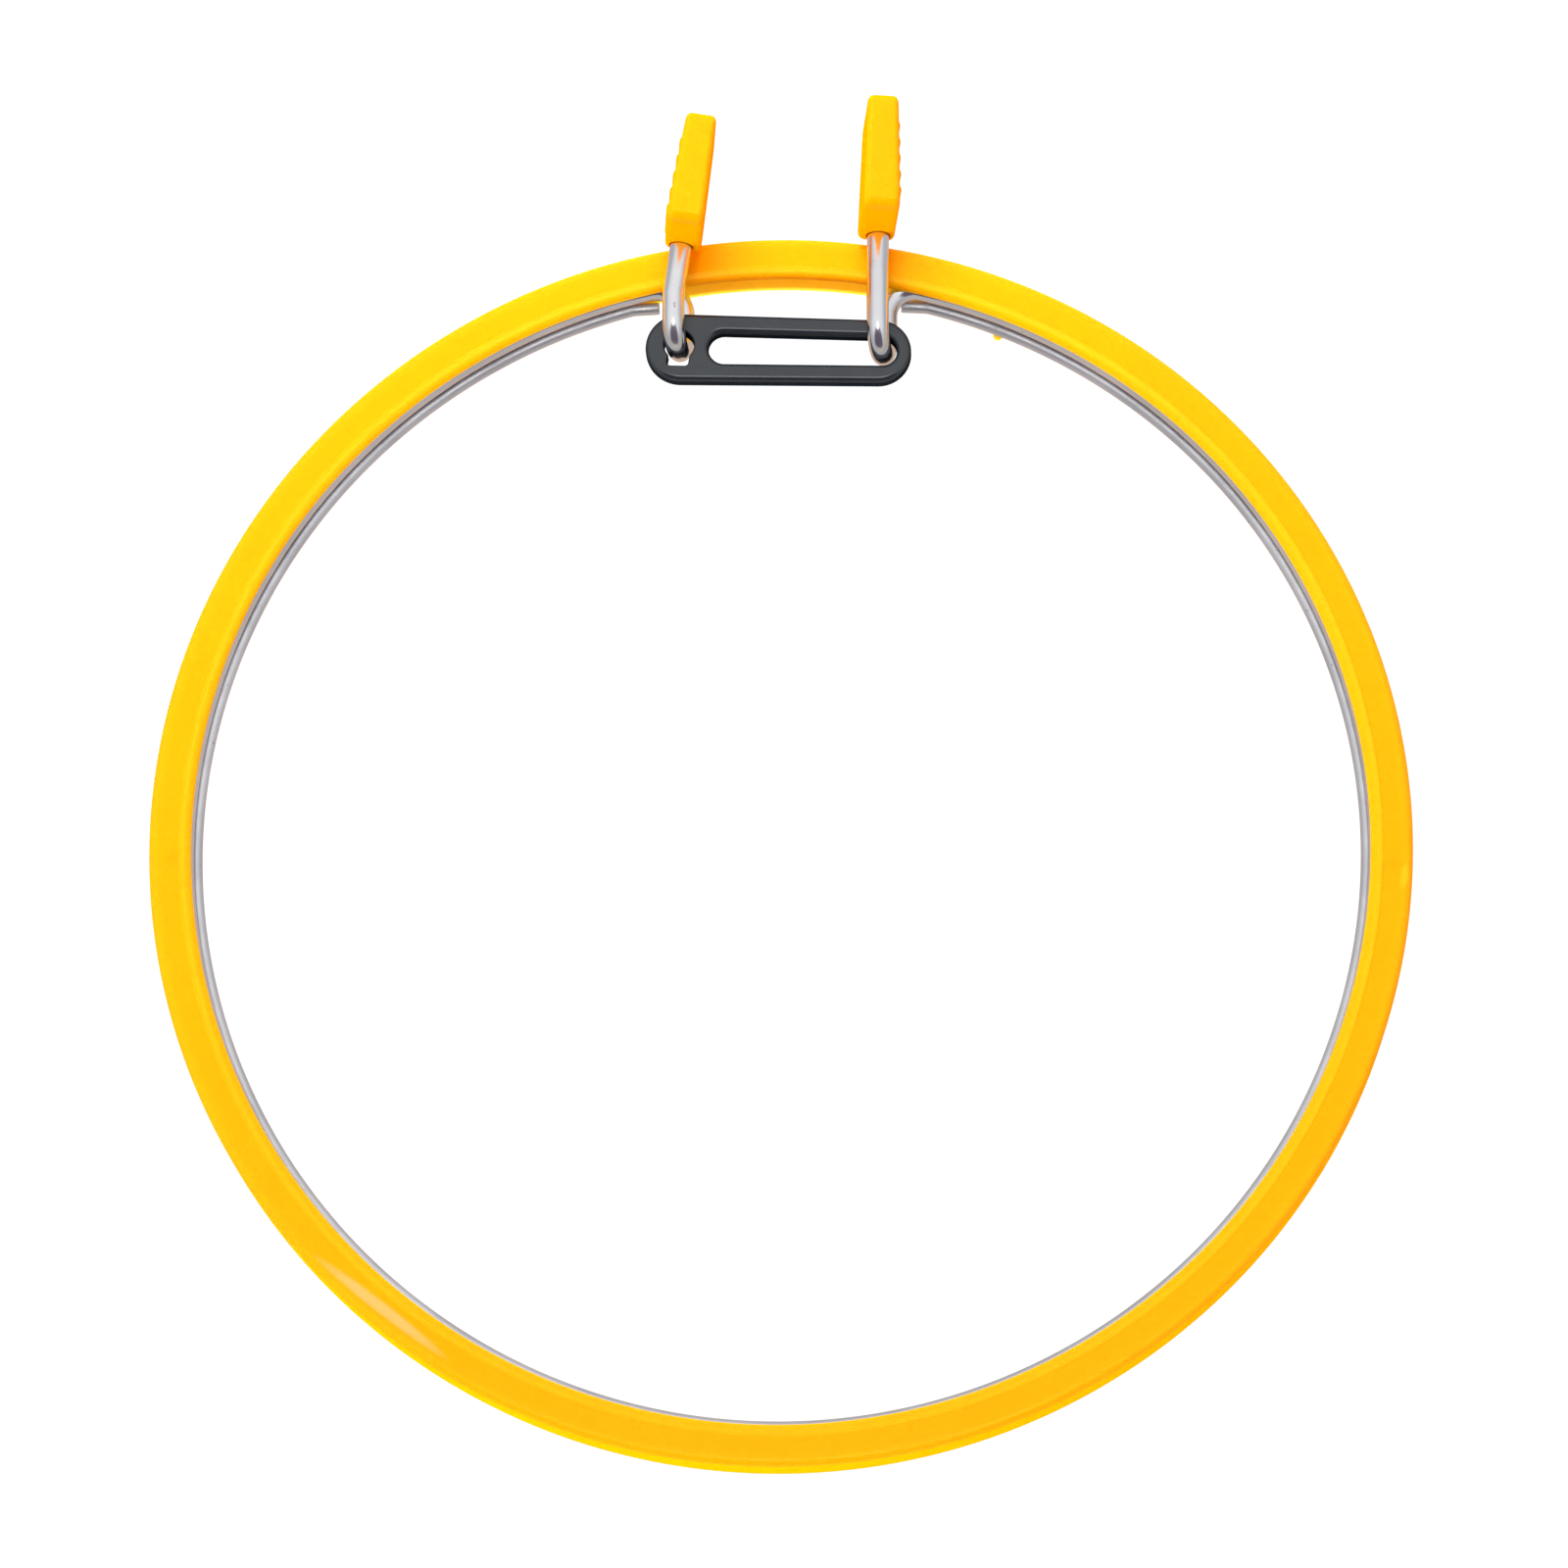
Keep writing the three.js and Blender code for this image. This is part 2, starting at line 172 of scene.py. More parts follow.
# Mesh helpers
def mesh_piece(name, points, faces, material, slot=None):
    mesh = bpy.data.meshes.new(name)
    mesh.from_pydata([tuple(p) for p in points], [], faces)
    mesh.update()
    mesh.polygons.foreach_set("use_smooth", [True] * len(mesh.polygons))
    mesh.materials.append(material)
    obj = bpy.data.objects.new(name, mesh)
    scene.collection.objects.link(obj)
    return obj


def face_weighted(obj):
    """Keeps the flats flat and the rounded edges soft."""
    modifier = obj.modifiers.new("face_weighted", "WEIGHTED_NORMAL")
    modifier.keep_sharp = True
    modifier.weight = FLAT_WEIGHT
    return obj


# Section outlines
def rounded_outline(corners, steps):
    """Corners are (x, y, along_before, along_after): each is rounded by a quarter of an ellipse."""
    points = []
    count = len(corners)
    for i, (x, y, before_size, after_size) in enumerate(corners):
        corner = Vector((x, y))
        before = Vector(corners[i - 1][:2])
        after = Vector(corners[(i + 1) % count][:2])
        back = (before - corner).normalized()
        forward = (after - corner).normalized()
        for step in range(steps + 1):
            turn = step / steps * math.pi / 2
            points.append(
                corner
                + back * before_size * (1 - math.sin(turn))
                + forward * after_size * (1 - math.cos(turn))
            )
    return points


# Outer ring
RING_STEPS = 480
CORNER_STEPS = 8
OUTER_ROUND = 0.85 * MM
OUTER_ROUND_WIDTH = OUTER_ROUND * 1.3
INNER_ROUND_WIDTH = 1.35 * MM
INNER_ROUND_DROP = 0.9 * MM
LIP_CORNER_RISE = 0.2 * MM
BACK_ROUND = 0.5 * MM
LIP_TIP_ROUND = 0.25 * MM
GROOVE_ROUND = 0.8 * MM
BEAD_WIDTH = 0.5 * MM
BEAD_HEIGHT = 0.06 * MM
BEAD_STEPS = 8
FLAT_SHARES = (0.04, 0.3, 0.6, 0.96)
NUB_BEARING = math.radians(22.4)
NUB_RADIUS = 84.2 * MM
NUB_SIZE = Vector((1.55, 0.9, 0.45)) * MM
NUB_SIDES = 16
NUB_LEVELS = 8


def ring_section():
    """The channel section: from the back lip's inner corner outwards, up, and back in."""
    flat_height = RING_HEIGHT - BEAD_HEIGHT
    outline = rounded_outline(
        [
            (BACK_LIP_RADIUS, 0, BACK_ROUND, BACK_ROUND),
            (RING_RADIUS, 0, OUTER_ROUND, OUTER_ROUND),
            (RING_RADIUS, flat_height, OUTER_ROUND, OUTER_ROUND_WIDTH),
            (LIP_RADIUS, flat_height, INNER_ROUND_WIDTH, INNER_ROUND_DROP),
            (LIP_RADIUS, GROOVE_TOP, LIP_CORNER_RISE, LIP_TIP_ROUND),
            (GROOVE_RADIUS, GROOVE_TOP, GROOVE_ROUND, GROOVE_ROUND),
            (GROOVE_RADIUS, LIP_THICKNESS, GROOVE_ROUND, GROOVE_ROUND),
            (BACK_LIP_RADIUS, LIP_THICKNESS, LIP_TIP_ROUND, LIP_TIP_ROUND),
        ],
        CORNER_STEPS,
    )
    bead_centre = LIP_RADIUS + INNER_ROUND_WIDTH + BEAD_WIDTH / 2
    bead = []
    for step in range(BEAD_STEPS + 1):
        share = step / BEAD_STEPS
        rise = BEAD_HEIGHT * (0.5 - 0.5 * math.cos(2 * math.pi * share))
        bead.append(Vector((bead_centre + BEAD_WIDTH * (0.5 - share), flat_height + rise)))
    flat = []
    flat_outer = RING_RADIUS - OUTER_ROUND_WIDTH
    flat_inner = bead[0].x
    for share in FLAT_SHARES:
        flat.append(Vector((flat_outer + (flat_inner - flat_outer) * share, flat_height)))
    # The flat and the bead go in between the third corner and the fourth
    third_corner_end = 3 * (CORNER_STEPS + 1)
    return outline[:third_corner_end] + flat + bead[:-1] + outline[third_corner_end:]


def outer_ring(material):
    section = ring_section()
    count = len(section)
    points = []
    for i in range(RING_STEPS):
        angle = 2 * math.pi * i / RING_STEPS
        for spot in section:
            turned = Vector((spot.x * math.sin(angle), spot.x * math.cos(angle), spot.y))
            points.append(RING_CENTRE + turned)
    faces = []
    for i in range(RING_STEPS):
        following = (i + 1) % RING_STEPS
        for j in range(count):
            k = (j + 1) % count
            this, that = i * count, following * count
            faces.append((this + j, this + k, that + k, that + j))
    ring = mesh_piece("ring_body", points, faces, material, "ring_plastic")
    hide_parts("outer_ring")
    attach(ring, "ring")
    return ring


def moulding_nub(material):
    """The rest of the sprue: a small rounded nub on the back lip, to the right of the handles."""
    angle = NUB_BEARING
    out = Vector((math.sin(angle), math.cos(angle), 0))
    along = Vector((math.cos(angle), -math.sin(angle), 0))
    centre = RING_CENTRE + out * NUB_RADIUS + Vector((0, 0, LIP_THICKNESS / 2))
    points = [centre + Vector((0, 0, NUB_SIZE.z))]
    faces = []
    for level in range(1, NUB_LEVELS):
        tilt = math.pi * level / NUB_LEVELS
        for i in range(NUB_SIDES):
            turn = 2 * math.pi * i / NUB_SIDES
            points.append(
                centre
                + out * NUB_SIZE.x * math.sin(tilt) * math.cos(turn)
                + along * NUB_SIZE.y * math.sin(tilt) * math.sin(turn)
                + Vector((0, 0, NUB_SIZE.z * math.cos(tilt)))
            )
    points.append(centre - Vector((0, 0, NUB_SIZE.z)))
    last = len(points) - 1
    for i in range(NUB_SIDES):
        k = (i + 1) % NUB_SIDES
        faces.append((0, 1 + k, 1 + i))
        faces.append((last, last - NUB_SIDES + i, last - NUB_SIDES + k))
        for level in range(NUB_LEVELS - 2):
            high = 1 + level * NUB_SIDES
            low = high + NUB_SIDES
            faces.append((high + i, high + k, low + k, low + i))
    nub = mesh_piece("ring_nub", points, faces, material, "ring_plastic")
    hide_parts("outer_ring")
    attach(nub, "ring")


# Wires
WIRE_SIDES = 32
BACKING_SIDES = 28
CIRCLE_STEP = math.radians(1)
GROOVE_BEND_STEPS = 16
HOOK_RUN_STEPS = 4
HOOK_BEND_STEPS = 16
LEG_BEND_STEPS = 8
LEG_RUN_STEPS = 6
GRIP_RUN_STEPS = 2
BACKING_BEND_STEPS = 5
BACKING_RUN_STEPS = 3
WIRE_END_STEPS = 4
SPRING_END_ROUND = 0.3 * MM
BACKING_END_ROUND = 0.2 * MM


class WirePath:
    """A wire's centre line as stations, each with its place and its exact direction."""

    def __init__(self, place, heading):
        self.stations = [(Vector(place), Vector(heading).normalized())]

    @property
    def place(self):
        return self.stations[-1][0]

    @property
    def heading(self):
        return self.stations[-1][1]

    def straight(self, length, steps):
        place, heading = self.stations[-1]
        for i in range(1, steps + 1):
            self.stations.append((place + heading * length * i / steps, heading.copy()))
        return self

    def bend_to(self, target, radius, steps):
        place, heading = self.stations[-1]
        aim = Vector(target).normalized()
        angle = heading.angle(aim)
        inward = (aim - heading * heading.dot(aim)).normalized()
        for i in range(1, steps + 1):
            turn = angle * i / steps
            onward = heading * radius * math.sin(turn)
            sideways = inward * radius * (1 - math.cos(turn))
            direction = heading * math.cos(turn) + inward * math.sin(turn)
            self.stations.append((place + onward + sideways, direction))
        return self


def on_circle(side, circle, angle, z):
    return RING_CENTRE + Vector((side * circle * math.sin(angle), -circle * math.cos(angle), z))


def along_circle(side, angle):
    return Vector((side * math.cos(angle), math.sin(angle), 0))


def circle_path(side, circle, z, end):
    """From the bottom of the ring, up one side."""
    path = WirePath(on_circle(side, circle, 0, z), along_circle(side, 0))
    count = math.ceil(end / CIRCLE_STEP)
    for i in range(1, count + 1):
        angle = end * i / count
        path.stations.append((on_circle(side, circle, angle, z), along_circle(side, angle)))
    return path


def wire_mesh(name, path, radius, sides, end_round, material):
    """A round wire along the path. Its first end is flat and its last end has a softened edge."""
    rings = []
    side_axis = None
    for place, heading in path.stations:
        if side_axis is None:
            side_axis = heading.cross(Vector((0, 0, 1))).normalized()
        side_axis = (side_axis - heading * side_axis.dot(heading)).normalized()
        rings.append((place, heading, side_axis.copy(), radius))
    place, heading, axis, _ = rings.pop()
    for i in range(WIRE_END_STEPS + 1):
        turn = i / WIRE_END_STEPS * math.pi / 2
        back = end_round * (1 - math.sin(turn))
        size = radius - end_round * (1 - math.cos(turn))
        rings.append((place - heading * back, heading, axis, size))
    points = []
    for place, heading, axis, size in rings:
        other = heading.cross(axis)
        for i in range(sides):
            turn = 2 * math.pi * i / sides
            points.append(place + axis * size * math.cos(turn) + other * size * math.sin(turn))
    faces = []
    for i in range(len(rings) - 1):
        this, that = i * sides, (i + 1) * sides
        for j in range(sides):
            k = (j + 1) % sides
            faces.append((this + j, this + k, that + k, that + j))
    faces.append(tuple(reversed(range(sides))))
    last = (len(rings) - 1) * sides
    faces.append(tuple(range(last, last + sides)))
    wire = mesh_piece(name, points, faces, material, "spring_steel")
    for face in wire.data.polygons[-2:]:
        face.use_smooth = False
    sharpen(wire, SHARP_ANGLE)
    return wire


def leg_direction(handle):
    side, lean, slope = handle["side"], handle["lean"], handle["slope"]
    return Vector((
        -side * math.sin(lean) * math.cos(slope),
        math.cos(lean) * math.cos(slope),
        -math.sin(slope),
    ))


def hook_centre_y(side):
    """The right hook lies nearer the ring's centre than the left one, by the link's tilt."""
    return LINK_Y + HOOK_RADIUS - (RIGHT_HOOK_DROP if side > 0 else 0)


def spring_path(handle):
    side = handle["side"]
    back_x = handle["hook_x"] + side * HOOK_SLANT
    leave = math.asin((back_x + GROOVE_BEND_RADIUS) / (SPRING_CIRCLE - GROOVE_BEND_RADIUS))
    path = circle_path(side, SPRING_CIRCLE, SPRING_Z, math.pi - leave)
    path.bend_to((0, -1, 0), GROOVE_BEND_RADIUS, GROOVE_BEND_STEPS)
    path.straight(path.place.y - hook_centre_y(side), HOOK_RUN_STEPS)
    path.bend_to((-HOOK_SLANT, 0, HOOK_RADIUS), HOOK_RADIUS, HOOK_BEND_STEPS)
    path.bend_to((0, 1, 0), HOOK_RADIUS, HOOK_BEND_STEPS)
    path.straight(handle["level_run"], LEG_RUN_STEPS)
    path.bend_to(leg_direction(handle), LEG_BEND_RADIUS, LEG_BEND_STEPS)
    return path


def spring_half(handle, material):
    side, name = handle["side"], handle["name"]
    path = spring_path(handle)
    path.straight(handle["bare_leg"], LEG_RUN_STEPS)
    path.straight(WIRE_IN_GRIP, GRIP_RUN_STEPS)
    wire = wire_mesh(f"spring_{name}", path, SPRING_RADIUS, WIRE_SIDES, SPRING_END_ROUND, material)
    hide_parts(f"spring_wire_{name}", "spring_wire_bow")
    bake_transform(wire)
    return wire


def backing_half(handle, material):
    side, name = handle["side"], handle["name"]
    bend_start = math.pi - math.asin((BACKING_CUT_X + BACKING_END_LENGTH) / BACKING_CIRCLE)
    path = circle_path(side, BACKING_CIRCLE, BACKING_Z, bend_start)
    end_direction = along_circle(side, bend_start + BACKING_END_BEND)
    path.bend_to(end_direction, BACKING_BEND_RADIUS, BACKING_BEND_STEPS)
    end_run = (abs(path.place.x) - BACKING_CUT_X) / abs(path.heading.x)
    path.straight(end_run, BACKING_RUN_STEPS)
    wire = wire_mesh(
        f"backing_{name}", path, BACKING_RADIUS, BACKING_SIDES, BACKING_END_ROUND, material
    )
    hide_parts(f"backing_wire_{name}", "backing_wire_bow")
    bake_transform(wire)
    return wire


# Solid from a flat outline with rounded rims. The least spread keeps a sharp corner from
# moving too far when its loop is moved inwards
LEAST_SPREAD = 0.35


def rim_profile(depth, rounding, steps):
    """Pairs of (inset, height) from the back face's edge round to the front face's edge."""
    profile = []
    for i in range(steps + 1):
        turn = i / steps * math.pi / 2
        rise = rounding * (1 - math.cos(turn))
        profile.append((rounding * (1 - math.sin(turn)), rise - depth / 2))
    for i in range(steps + 1):
        turn = math.pi / 2 * (1 - i / steps)
        drop = rounding * (1 - math.cos(turn))
        profile.append((rounding * (1 - math.sin(turn)), depth / 2 - drop))
    return profile


def offset_loop(loop, inset):
    """Moves a closed loop inwards, to the left of its direction, by inset."""
    moved = []
    count = len(loop)
    for i, point in enumerate(loop):
        before = (point - loop[i - 1]).normalized()
        after = (loop[(i + 1) % count] - point).normalized()
        normal = Vector((-(before.y + after.y), before.x + after.x)).normalized()
        spread = max(LEAST_SPREAD, normal.dot(Vector((-after.y, after.x))))
        moved.append(point + normal * inset / spread)
    return moved


def arc(centre, radius, start, end, steps):
    points = []
    for i in range(steps + 1):
        turn = start + (end - start) * i / steps
        x = centre[0] + radius * math.cos(turn)
        y = centre[1] + radius * math.sin(turn)
        points.append(Vector((x, y)))
    return points


def spaced(points, spacing):
    """Fills the long straight stretches of a closed loop with more points."""
    filled = []
    count = len(points)
    for i, point in enumerate(points):
        following = points[(i + 1) % count]
        parts = max(1, math.ceil((following - point).length / spacing))
        for part in range(parts):
            filled.append(point.lerp(following, part / parts))
    return filled


# Retaining link
OUTLINE_ROUND = 0.85 * MM
SLOT_ROUND = 0.85 * MM
EYE_ROUND = 0.35 * MM
LINK_RIM_STEPS = 8
RIM_SPACING = 1.0 * MM
ROUND_END_STEPS = 36
EYE_STEPS = 40
NOTCH_STEPS = 5
FILL_TOLERANCE = 1e-7
FILL_INSIDE = 1


def round_ended(start, start_radius, end, end_radius):
    """Two round ends joined by straight sides, the larger end first."""
    turn = math.acos((start_radius - end_radius) / (end - start))
    loop = arc((end, 0), end_radius, -turn, turn, ROUND_END_STEPS)
    return loop + arc((start, 0), start_radius, turn, 2 * math.pi - turn, ROUND_END_STEPS)


def link_loops():
    """The outline and the two holes, in the link's own frame on the keyhole's axis."""
    slot_end = HOOK_SPACING + SPRING_RADIUS + SLOT_END_GAP - SLOT_NARROW_RADIUS
    outline = round_ended(LINK_WIDE_END, LINK_WIDE_RADIUS, LINK_NARROW_END, LINK_NARROW_RADIUS)
    slot = round_ended(SLOT_START, SLOT_WIDE_RADIUS, slot_end, SLOT_NARROW_RADIUS)
    slot.reverse()
    notch = math.asin(NOTCH_WIDTH / 2 / EYE_RADIUS)
    down = -math.pi / 2
    # Five quarter turns back is straight down again, after one whole turn
    eye_end = 5 * down + notch
    eye = arc((EYE_SHIFT, EYE_LIFT), EYE_RADIUS, down - notch, eye_end, EYE_STEPS)
    corner_x = NOTCH_WIDTH / 2 - NOTCH_ROUND
    corner_y = NOTCH_ROUND - NOTCH_REACH
    eye += arc((corner_x, corner_y), NOTCH_ROUND, 0, down, NOTCH_STEPS)
    eye += arc((-corner_x, corner_y), NOTCH_ROUND, down, -math.pi, NOTCH_STEPS)
    return [spaced(loop, RIM_SPACING) for loop in (outline, slot, eye)]


def inside_loop(spot, loop):
    inside = False
    for i, point in enumerate(loop):
        other = loop[i - 1]
        if (point.y > spot.y) != (other.y > spot.y):
            share = (spot.y - point.y) / (other.y - point.y)
            inside ^= spot.x < point.x + share * (other.x - point.x)
    return inside


def flat_fill(loops):
    """Triangles between the first loop and the holes, as (loop, point) pairs."""
    spots, edges, names = [], [], []
    for number, loop in enumerate(loops):
        base = len(spots)
        for i, point in enumerate(loop):
            spots.append(point / MM)
            edges.append((base + i, base + (i + 1) % len(loop)))
            names.append((number, i))
    # The fill keeps what is inside the outer loop; what lies in a hole is left out here
    _, _, triangles, origin, _, _ = delaunay_2d_cdt(spots, edges, [], FILL_INSIDE, FILL_TOLERANCE)
    kept = []
    for triangle in triangles:
        corners = [origin[i][0] for i in triangle]
        middle = sum((spots[i] for i in corners), Vector((0, 0))) / 3 * MM
        if not any(inside_loop(middle, hole) for hole in loops[1:]):
            kept.append([names[i] for i in corners])
    return kept


def retaining_link(material):
    keyhole = Matrix.Translation((-LEFT_HANDLE["hook_x"], LINK_Y, LINK_Z))
    place = keyhole @ Matrix.Rotation(-LINK_TILT, 4, "Z")
    points, faces, firsts = [], [], []
    back_loops, front_loops = [], []
    for loop, rounding in zip(link_loops(), (OUTLINE_ROUND, SLOT_ROUND, EYE_ROUND)):
        profile = rim_profile(LINK_THICKNESS, rounding, LINK_RIM_STEPS)
        start, count = len(points), len(loop)
        levels = [offset_loop(loop, inset) for inset, _ in profile]
        for level, (_, height) in zip(levels, profile):
            points += [place @ Vector((spot.x, spot.y, height)) for spot in level]
        for i in range(len(profile) - 1):
            for j in range(count):
                k = (j + 1) % count
                low, high = start + i * count, start + (i + 1) * count
                faces.append((low + j, low + k, high + k, high + j))
        firsts.append((start, start + (len(profile) - 1) * count))
        back_loops.append(levels[0])
        front_loops.append(levels[-1])
    for flat in flat_fill(back_loops):
        faces.append(tuple(firsts[number][0] + i for number, i in reversed(flat)))
    for flat in flat_fill(front_loops):
        faces.append(tuple(firsts[number][1] + i for number, i in flat))
    link = mesh_piece("link_bar", points, faces, material, "link_plastic")
    face_weighted(link)
    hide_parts("retaining_link")
    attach(link, "link")
    return link


# Finger grips
GRIP_EDGE_ROUND = 1.0 * MM
GRIP_TIP_ROUND = 2.2 * MM
GRIP_FOOT_ROUND = 2.0 * MM
GRIP_RIM_STEPS = 6
BORE_SIDES = 32
RIB_STEPS = 8
RIB_STATIONS = 24
RIB_SINK = 0.35 * MM
RIB_FADE = 0.9 * MM
RIB_END_WIDTH = 0.35
RIB_FULLNESS = 0.8


def grip_frame(handle):
    """At the grip's foot. Its axes run through the grip's thickness, along it and to the front."""
    along = leg_direction(handle)
    across = along.cross(Vector((0, 0, 1))).normalized()
    across = Matrix.Rotation(handle["twist"], 3, along) @ across
    front = across.cross(along)
    foot = spring_path(handle).place + along * handle["bare_leg"]
    turn = Matrix((across, along, front)).transposed().to_4x4()
    return Matrix.Translation(foot) @ turn


def thinned(handle, x, y):
    """A grip thins from its foot to its tip, and stands a little to the wire's inner side."""
    thinning = 1 - GRIP_TIP_THICKNESS / GRIP_FOOT_THICKNESS
    return x * (1 - thinning * y / handle["grip_length"]) - handle["side"] * GRIP_INNER_SHIFT


def grip_blade(handle):
    """A flat blade with rounded corners in the grip's own frame, and rounded rims all round."""
    length = handle["grip_length"] - TIP_TRIM
    front = GRIP_BACK + GRIP_DEPTH
    outline = rounded_outline(
        [
            (0, GRIP_BACK, GRIP_FOOT_ROUND, GRIP_FOOT_ROUND),
            (length, GRIP_BACK, GRIP_TIP_ROUND, GRIP_TIP_ROUND),
            (length, front, GRIP_TIP_ROUND, GRIP_TIP_ROUND),
            (0, front, GRIP_FOOT_ROUND, GRIP_FOOT_ROUND),
        ],
        CORNER_STEPS,
    )
    outline = spaced(outline, RIM_SPACING)
    profile = rim_profile(GRIP_FOOT_THICKNESS, GRIP_EDGE_ROUND, GRIP_RIM_STEPS)
    points, faces = [], []
    count = len(outline)
    for inset, height in profile:
        for spot in offset_loop(outline, inset):
            points.append(Vector((thinned(handle, height, spot.x), spot.x, spot.y)))
    for i in range(len(profile) - 1):
        this, that = i * count, (i + 1) * count
        for j in range(count):
            k = (j + 1) % count
            faces.append((this + j, this + k, that + k, that + j))
    last = (len(profile) - 1) * count
    faces.append(tuple(reversed(range(count))))
    faces.append(tuple(range(last, last + count)))
    return points, faces


def rib_points(handle, along):
    """One low ridge across the grip's outer side, rounded over its top and at both ends."""
    side = handle["side"]
    half = GRIP_FOOT_THICKNESS / 2
    length = GRIP_DEPTH - 2 * RIB_INSET
    points, faces = [], []
    for i in range(RIB_STATIONS + 1):
        share = i / RIB_STATIONS
        z = GRIP_BACK + RIB_INSET + length * share
        fade = min(1, min(share, 1 - share) * length / RIB_FADE)
        fade = math.sin(fade * math.pi / 2)
        width = RIB_WIDTH * (RIB_END_WIDTH + (1 - RIB_END_WIDTH) * fade)
        for j in range(RIB_STEPS + 1):
            turn = math.pi * j / RIB_STEPS
            y = along - width / 2 * math.cos(turn)
            rise = RIB_HEIGHT * math.sin(turn) ** RIB_FULLNESS * fade
            points.append(Vector((thinned(handle, side * (half + rise), y), y, z)))
        points.append(Vector((thinned(handle, side * (half - RIB_SINK), along), along, z)))
    row = RIB_STEPS + 2
    for i in range(RIB_STATIONS):
        this, that = i * row, (i + 1) * row
        for j in range(row):
            k = (j + 1) % row
            face = (this + j, this + k, that + k, that + j)
            faces.append(face if side < 0 else tuple(reversed(face)))
    ends = (tuple(range(row)), tuple(RIB_STATIONS * row + j for j in reversed(range(row))))
    faces += [tuple(reversed(end)) if side < 0 else end for end in ends]
    return points, faces


def finger_grip(handle, material):
    name = handle["name"]
    grip = mesh_piece(f"grip_{name}_body", *grip_blade(handle), material, "grip_plastic")
    ribs = []
    for i in range(RIB_COUNT):
        along = handle["grip_length"] - RIB_FROM_TIP - i * RIB_PITCH
        ribs.append(mesh_piece(f"rib_{name}_{i}", *rib_points(handle, along), material))
    bore = bore_mesh(material)
    for rib in ribs:
        boolean(grip, rib, "UNION")
    boolean(grip, bore, "DIFFERENCE")
    grip.data.transform(grip_frame(handle))
    grip.data.polygons.foreach_set("use_smooth", [True] * len(grip.data.polygons))
    sharpen(grip, SHARP_ANGLE)
    face_weighted(grip)
    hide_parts(f"grip_{name}")
    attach(grip, f"{name}_arm")
    return grip


def bore_mesh(material):
    """What the wire's blind bore takes out of a grip, in the grip's own frame."""
    radius = SPRING_RADIUS + GRIP_BORE_GAP
    depth = WIRE_IN_GRIP + GAP
    points, faces = [], []
    for y in (-depth, depth):
        for i in range(BORE_SIDES):
            turn = 2 * math.pi * i / BORE_SIDES
            points.append(Vector((radius * math.cos(turn), y, radius * math.sin(turn))))
    for i in range(BORE_SIDES):
        k = (i + 1) % BORE_SIDES
        faces.append((i, BORE_SIDES + i, BORE_SIDES + k, k))
    faces.append(tuple(range(BORE_SIDES)))
    faces.append(tuple(reversed(range(BORE_SIDES, 2 * BORE_SIDES))))
    return mesh_piece("bore_tool", points, faces, material)


def boolean(target, tool, operation):
    """Joins the tool to the target or cuts it out of it, and then deletes the tool."""
    modifier = target.modifiers.new("join", "BOOLEAN")
    modifier.operation = operation
    modifier.solver = "EXACT"
    modifier.object = tool
    bpy.context.view_layer.update()
    evaluated = target.evaluated_get(bpy.context.evaluated_depsgraph_get())
    cut = bpy.data.meshes.new_from_object(evaluated)
    target.modifiers.clear()
    old = target.data
    target.data = cut
    bpy.data.meshes.remove(old)
    bpy.data.objects.remove(tool)


def sharpen(obj, angle):
    """Marks the edges that turn by more than the angle as sharp."""
    mesh = bmesh.new()
    mesh.from_mesh(obj.data)
    for edge in mesh.edges:
        if len(edge.link_faces) == 2 and edge.calc_face_angle() > angle:
            edge.smooth = False
    mesh.to_mesh(obj.data)
    mesh.free()


# Materials
# The yellow of the painted highlights along the band
PAINTED_HIGHLIGHT_YELLOW = (1.0, 0.5, 0.015)
# Painted light: the groove's wall is lit up in colour, standing in for light through the plastic
GROOVE_PAINTED_LIGHT = (1.0, 0.62, 0.04)
GROOVE_FADE = 0.3 * MM
# How pale the band is painted across its width, from the lip (0) to the outer edge (1):
# painted highlights along the bead and the outer edge
BAND_PAINTED_HIGHLIGHTS = [
    (0.0, (0.05,) * 3),
    (0.12, (0.1,) * 3),
    (0.2, (0.34,) * 3),
    (0.3, (0.0,) * 3),
    (0.65, (0.0,) * 3),
    (0.9, (0.11,) * 3),
    (1.0, (0.05,) * 3),
]
# Marks on the ring: centre in millimetres from the ring's own centre, turn, half length,
# half width, strength and colour. The first is a painted reflection, a long pale streak on
# the lower left where a lamp would gleam; the rest are smudges
RING_SMUDGES_AND_PAINTED_STREAK = [
    ((-55.7, -67.4, 7.7), math.radians(-38), 12.5 * MM, 0.95 * MM, 0.9, (0.8, 0.39, 0.115)),
    ((-86.6, -2.6, 7.7), math.radians(70), 1.6 * MM, 1.1 * MM, 0.25, (0.6, 0.24, 0.0)),
    ((-86.0, -6.5, 7.7), math.radians(10), 2.2 * MM, 0.8 * MM, 0.2, (0.65, 0.27, 0.0)),
    ((86.8, -4.6, 7.7), math.radians(5), 2.4 * MM, 0.9 * MM, 0.2, (0.65, 0.27, 0.0)),
    ((88.6, -6.2, 7.7), math.radians(80), 2.2 * MM, 0.7 * MM, 0.3, (1.0, 0.55, 0.02)),
]

# From its rim (0) to here (of 1 at its centre) a mark gains its full strength
MARK_CORE = 0.5

# Sizes of the noise patterns, as Blender counts them, and their detail
YELLOW_DRIFT = (45, 3)
YELLOW_RUBS = (160, 4)
YELLOW_GRAIN = (2600, 2)
YELLOW_RIPPLE = (120, 2)
STEEL_TONE = (90, 3)
STEEL_SPECKS = (900, 1)
STEEL_DULLNESS = (400, 3)
STEEL_GRAIN = (1500, 2)
CHARCOAL_TONE = (260, 4)
CHARCOAL_RUBS = (700, 3)
CHARCOAL_GRAIN = (1200, 2)
# The part of a noise pattern's values over which a look changes
NOISE_LOW = 0.3
NOISE_HIGH = 0.7
YELLOW_RUBS_LOW = 0.35
SPECKS_LOW = 0.74
SPECKS_HIGH = 0.8
